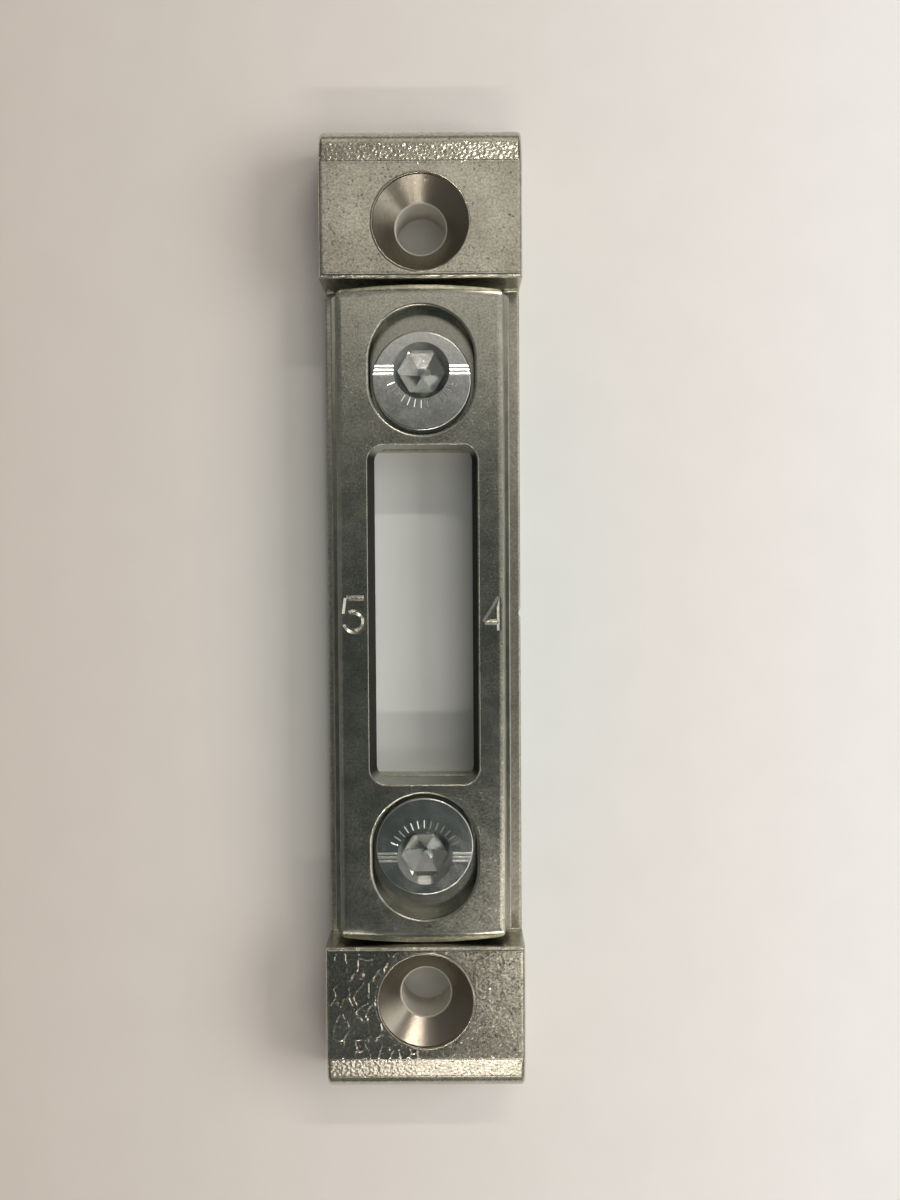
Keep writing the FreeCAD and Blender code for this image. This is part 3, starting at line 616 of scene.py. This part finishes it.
    # Lift the grid, cut the hole, and lay the sheet in its place.
    proud = add(tree, "ShaderNodeMath", {0: relief, 1: given["Sink"]}, operation="ADD")
    under = add(tree, "ShaderNodeMath", {0: given["Sink"], 1: -1.0}, operation="MULTIPLY")
    lift = add(tree, "ShaderNodeMath", {0: proud, 1: inside, 2: under}, operation="MULTIPLY_ADD")
    offset = add(tree, "ShaderNodeCombineXYZ", {"Z": lift})
    raised = add(tree, "GeometryNodeSetPosition", {"Geometry": grid, "Offset": offset})
    in_hole = add(tree, "FunctionNodeCompare", {0: hole_room, 1: 0.0}, operation="LESS_THAN")
    holed = add(tree, "GeometryNodeDeleteGeometry", {0: raised, 1: in_hole})
    laid = add(tree, "GeometryNodeTransform", {
        "Geometry": holed, "Translation": given["Place"], "Rotation": given["Turn"]})
    smooth = add(tree, "GeometryNodeSetShadeSmooth", {0: laid})
    plain = add(tree, "GeometryNodeRealizeInstances", {0: smooth})
    dressed = add(tree, "GeometryNodeSetMaterial", {0: plain, "Material": material})
    add(tree, "NodeGroupOutput", {0: dressed})
    return tree


casting_skin = skin_tree(tumbled_zinc)
print(casting_skin.name, "has", len(casting_skin.nodes), "nodes")

# %% [markdown]
# ## Lay the sheets
# One tree makes all four sheets: a strong grain on the ramps, which mirror a row of lamps and glitter,
# and a faint one on the blocks, with flow lines on the lower block. The finest grain that the picture
# can show is about a third of a millimetre, so the real one, which is finer, is drawn at that. Each
# sheet is turned into a plain mesh at once and its modifier removed, so what is seen is what is kept.

# %% A helper that grows a piece
def grown(name, tree, sizes, body="base"):
    """A plain mesh made by a Geometry Nodes tree with the given sizes, fixed to a body."""
    holder = bpy.data.objects.new(name, bpy.data.meshes.new(name))
    bpy.context.scene.collection.objects.link(holder)
    modifier = holder.modifiers.new("shape", "NODES")
    modifier.node_group = tree
    for socket in tree.interface.items_tree:
        if socket.in_out == "INPUT":
            modifier[socket.identifier] = sizes[socket.name]
    scene_now = bpy.context.evaluated_depsgraph_get()
    mesh = bpy.data.meshes.new_from_object(holder.evaluated_get(scene_now))
    holder.modifiers.clear()
    holder.data = mesh
    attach(holder, body)
    print(name, "has", len(mesh.polygons), "faces")


# %% Skins of the ramps
BLOCK_TOP = 7.0 * MM
RAMP_START_Y = 44.9 * MM
RAMP_ANGLE = math.radians(16.0)
RAMP_LENGTH = 2.22 * MM
RAMP_STEP = 0.065 * MM
RAMP_GRAIN = 0.32 * MM
RAMP_SEED = 3.0
# A hole of no size, a metre away.
NO_HOLE = {"Hole Radius": 0.0, "Hole Middle": (0.0, 1.0, 0.0)}
PLAIN_SKIN = {
    "Width": 19.7 * MM, "Border": 0.15 * MM, "Sink": 0.02 * MM, "Turn": (0.0, 0.0, 0.0),
    "Flow": 1.2 * MM, "Flow Height": 0.0, "Flow Edge": 1.0 * MM,
}

halfway = RAMP_LENGTH / 2
middle_z = BLOCK_TOP - halfway * math.sin(RAMP_ANGLE)
for name, side, grain_height in (
        ("upper_ramp_skin", 1, 0.105 * MM),
        ("lower_ramp_skin", -1, 0.055 * MM)):
    middle_y = side * (RAMP_START_Y + halfway * math.cos(RAMP_ANGLE))
    grown(name, casting_skin, PLAIN_SKIN | NO_HOLE | {
        "Length": RAMP_LENGTH, "Step": RAMP_STEP, "Grain": RAMP_GRAIN, "Grain Height": grain_height,
        "Seed": RAMP_SEED + side, "Place": (0.0, middle_y, middle_z), "Turn": (-side * RAMP_ANGLE, 0.0, 0.0)})

# %% Skins of the blocks
BLOCK_INNER_Y = 33.5 * MM
EDGE_ROUND = 0.4 * MM
SCREW_Y = SCREW_Y_MM * MM
BLOCK_STEP = 0.105 * MM
BLOCK_GRAIN = 0.36 * MM
BLOCK_SEED = 10.0
HOLE_RADIUS = (CONE_RADIUS_MM + SKIN_EDGE_MM) * MM

face_length = RAMP_START_Y - BLOCK_INNER_Y - EDGE_ROUND
face_middle = RAMP_START_Y - face_length / 2
for name, side, grain_height, flow_height in (
        ("upper_block_skin", 1, 0.008 * MM, 0.0),
        ("lower_block_skin", -1, 0.0055 * MM, 0.040 * MM)):
    grown(name, casting_skin, PLAIN_SKIN | {
        "Length": face_length, "Step": BLOCK_STEP, "Grain": BLOCK_GRAIN, "Grain Height": grain_height,
        "Flow Height": flow_height, "Hole Radius": HOLE_RADIUS,
        "Hole Middle": (0.0, side * (SCREW_Y - face_middle), 0.0), "Seed": BLOCK_SEED - side,
        "Place": (0.0, side * face_middle, BLOCK_TOP)})

# %% [markdown]
# ## Rolled lips and worn rims
# Cutting the cone of a screw hole pushes a thin burr up around its edge, and wear then rolls it over
# into a narrow bright lip of uneven width. The foot of the cone, the inner edge of each block and
# the rim of the insert's opening carry such a bright line too. A bevel on the solid would be too even.
# One tree makes them all: a rectangle with rounded corners, which is a circle when the corners meet and
# a line when it is thin, wavers a little and is swept with a small round section, so it catches light
# on all sides.

# %% Tree for a rolled lip
CORNER_POINTS = 60
SECTION_POINTS = 10
WAVES_PER_METRE = 900.0


def lip_tree(material):
    tree = bpy.data.node_groups.new("rolled_lip_" + material.name, "GeometryNodeTree")
    tree.interface.new_socket("Lip", in_out="OUTPUT", socket_type="NodeSocketGeometry")
    for name in ("Width", "Length", "Corner", "Step", "Section", "Waver", "Seed"):
        tree.interface.new_socket(name, in_out="INPUT", socket_type="NodeSocketFloat")
    tree.interface.new_socket("Place", in_out="INPUT", socket_type="NodeSocketVector")
    given = add(tree, "NodeGroupInput").outputs
    outline = add(tree, "GeometryNodeCurvePrimitiveQuadrilateral", {
        "Width": given["Width"], "Height": given["Length"]})
    rounded = add(tree, "GeometryNodeFilletCurve", {
        "Curve": outline, "Count": CORNER_POINTS, "Radius": given["Corner"], "Limit Radius": True},
        mode="POLY")
    rim = add(tree, "GeometryNodeResampleCurve", {"Curve": rounded, "Length": given["Step"]}, mode="LENGTH")
    spot = add(tree, "GeometryNodeInputPosition")
    wave = add(tree, "ShaderNodeTexNoise", {
        "Vector": spot, "W": given["Seed"], "Scale": WAVES_PER_METRE, "Detail": 3.0}, noise_dimensions="4D")
    middle = add(tree, "ShaderNodeVectorMath", {0: wave.outputs["Color"], 1: (0.5, 0.5, 0.5)},
                 operation="SUBTRACT")
    shift = add(tree, "ShaderNodeVectorMath", {0: middle, 3: given["Waver"]}, operation="SCALE")
    uneven = add(tree, "GeometryNodeSetPosition", {"Geometry": rim, "Offset": shift})
    section = add(tree, "GeometryNodeCurvePrimitiveCircle", {
        "Resolution": SECTION_POINTS, "Radius": given["Section"]})
    bead = add(tree, "GeometryNodeCurveToMesh", {"Curve": uneven, "Profile Curve": section})
    laid = add(tree, "GeometryNodeTransform", {"Geometry": bead, "Translation": given["Place"]})
    smooth = add(tree, "GeometryNodeSetShadeSmooth", {0: laid})
    plain = add(tree, "GeometryNodeRealizeInstances", {0: smooth})
    dressed = add(tree, "GeometryNodeSetMaterial", {0: plain, "Material": material})
    add(tree, "NodeGroupOutput", {0: dressed})
    return tree


rolled_lip = lip_tree(tumbled_zinc)
print(rolled_lip.name, "has", len(rolled_lip.nodes), "nodes")

# %% Lips and feet of the cones
LIP_RADIUS = (CONE_RADIUS_MM + 0.02) * MM
LIP_Z = BLOCK_TOP - 0.06 * MM
LIP_SECTION = 0.15 * MM
LIP_WAVER = 0.16 * MM
FOOT_RADIUS = 2.62 * MM
FOOT_Z = 4.56 * MM
FOOT_SECTION = 0.07 * MM
FOOT_WAVER = 0.03 * MM
RING_STEP = 0.12 * MM
RING_SEED = 5.0
# Corners that meet exactly would leave sides of no length between them.
NEARLY_ROUND = 0.999

for name, side, radius, z, section, waver in (
        ("upper_lip", 1, LIP_RADIUS, LIP_Z, LIP_SECTION, LIP_WAVER),
        ("lower_lip", -1, LIP_RADIUS, LIP_Z, LIP_SECTION, LIP_WAVER),
        ("upper_cone_foot", 1, FOOT_RADIUS, FOOT_Z, FOOT_SECTION, FOOT_WAVER),
        ("lower_cone_foot", -1, FOOT_RADIUS, FOOT_Z, FOOT_SECTION, FOOT_WAVER)):
    grown(name, rolled_lip, {
        "Width": 2 * radius, "Length": 2 * radius, "Corner": NEARLY_ROUND * radius, "Step": RING_STEP,
        "Section": section, "Waver": waver, "Seed": RING_SEED + side, "Place": (0.0, side * SCREW_Y, z)})

# %% Inner edges of the blocks
EDGE_Y = 33.64 * MM
EDGE_Z = 6.87 * MM
EDGE_SEED = 8.0
BLOCK_EDGE = {
    "Width": 19.2 * MM, "Length": 0.12 * MM, "Corner": 0.05 * MM, "Step": 0.15 * MM,
    "Section": 0.08 * MM, "Waver": 0.16 * MM,
}
for name, side in (("upper_block_edge", 1), ("lower_block_edge", -1)):
    grown(name, rolled_lip, BLOCK_EDGE | {"Seed": EDGE_SEED + side, "Place": (0.0, side * EDGE_Y, EDGE_Z)})

# %% Rim of the opening
OPENING_RIM = {
    "Width": 11.28 * MM, "Length": 34.48 * MM, "Corner": 1.74 * MM, "Step": 0.2 * MM,
    "Section": 0.13 * MM, "Waver": 0.06 * MM, "Seed": 2.0, "Place": (0.0, 0.0, 5.90 * MM),
}
grown("opening_rim", lip_tree(satin_zinc), OPENING_RIM, "insert")
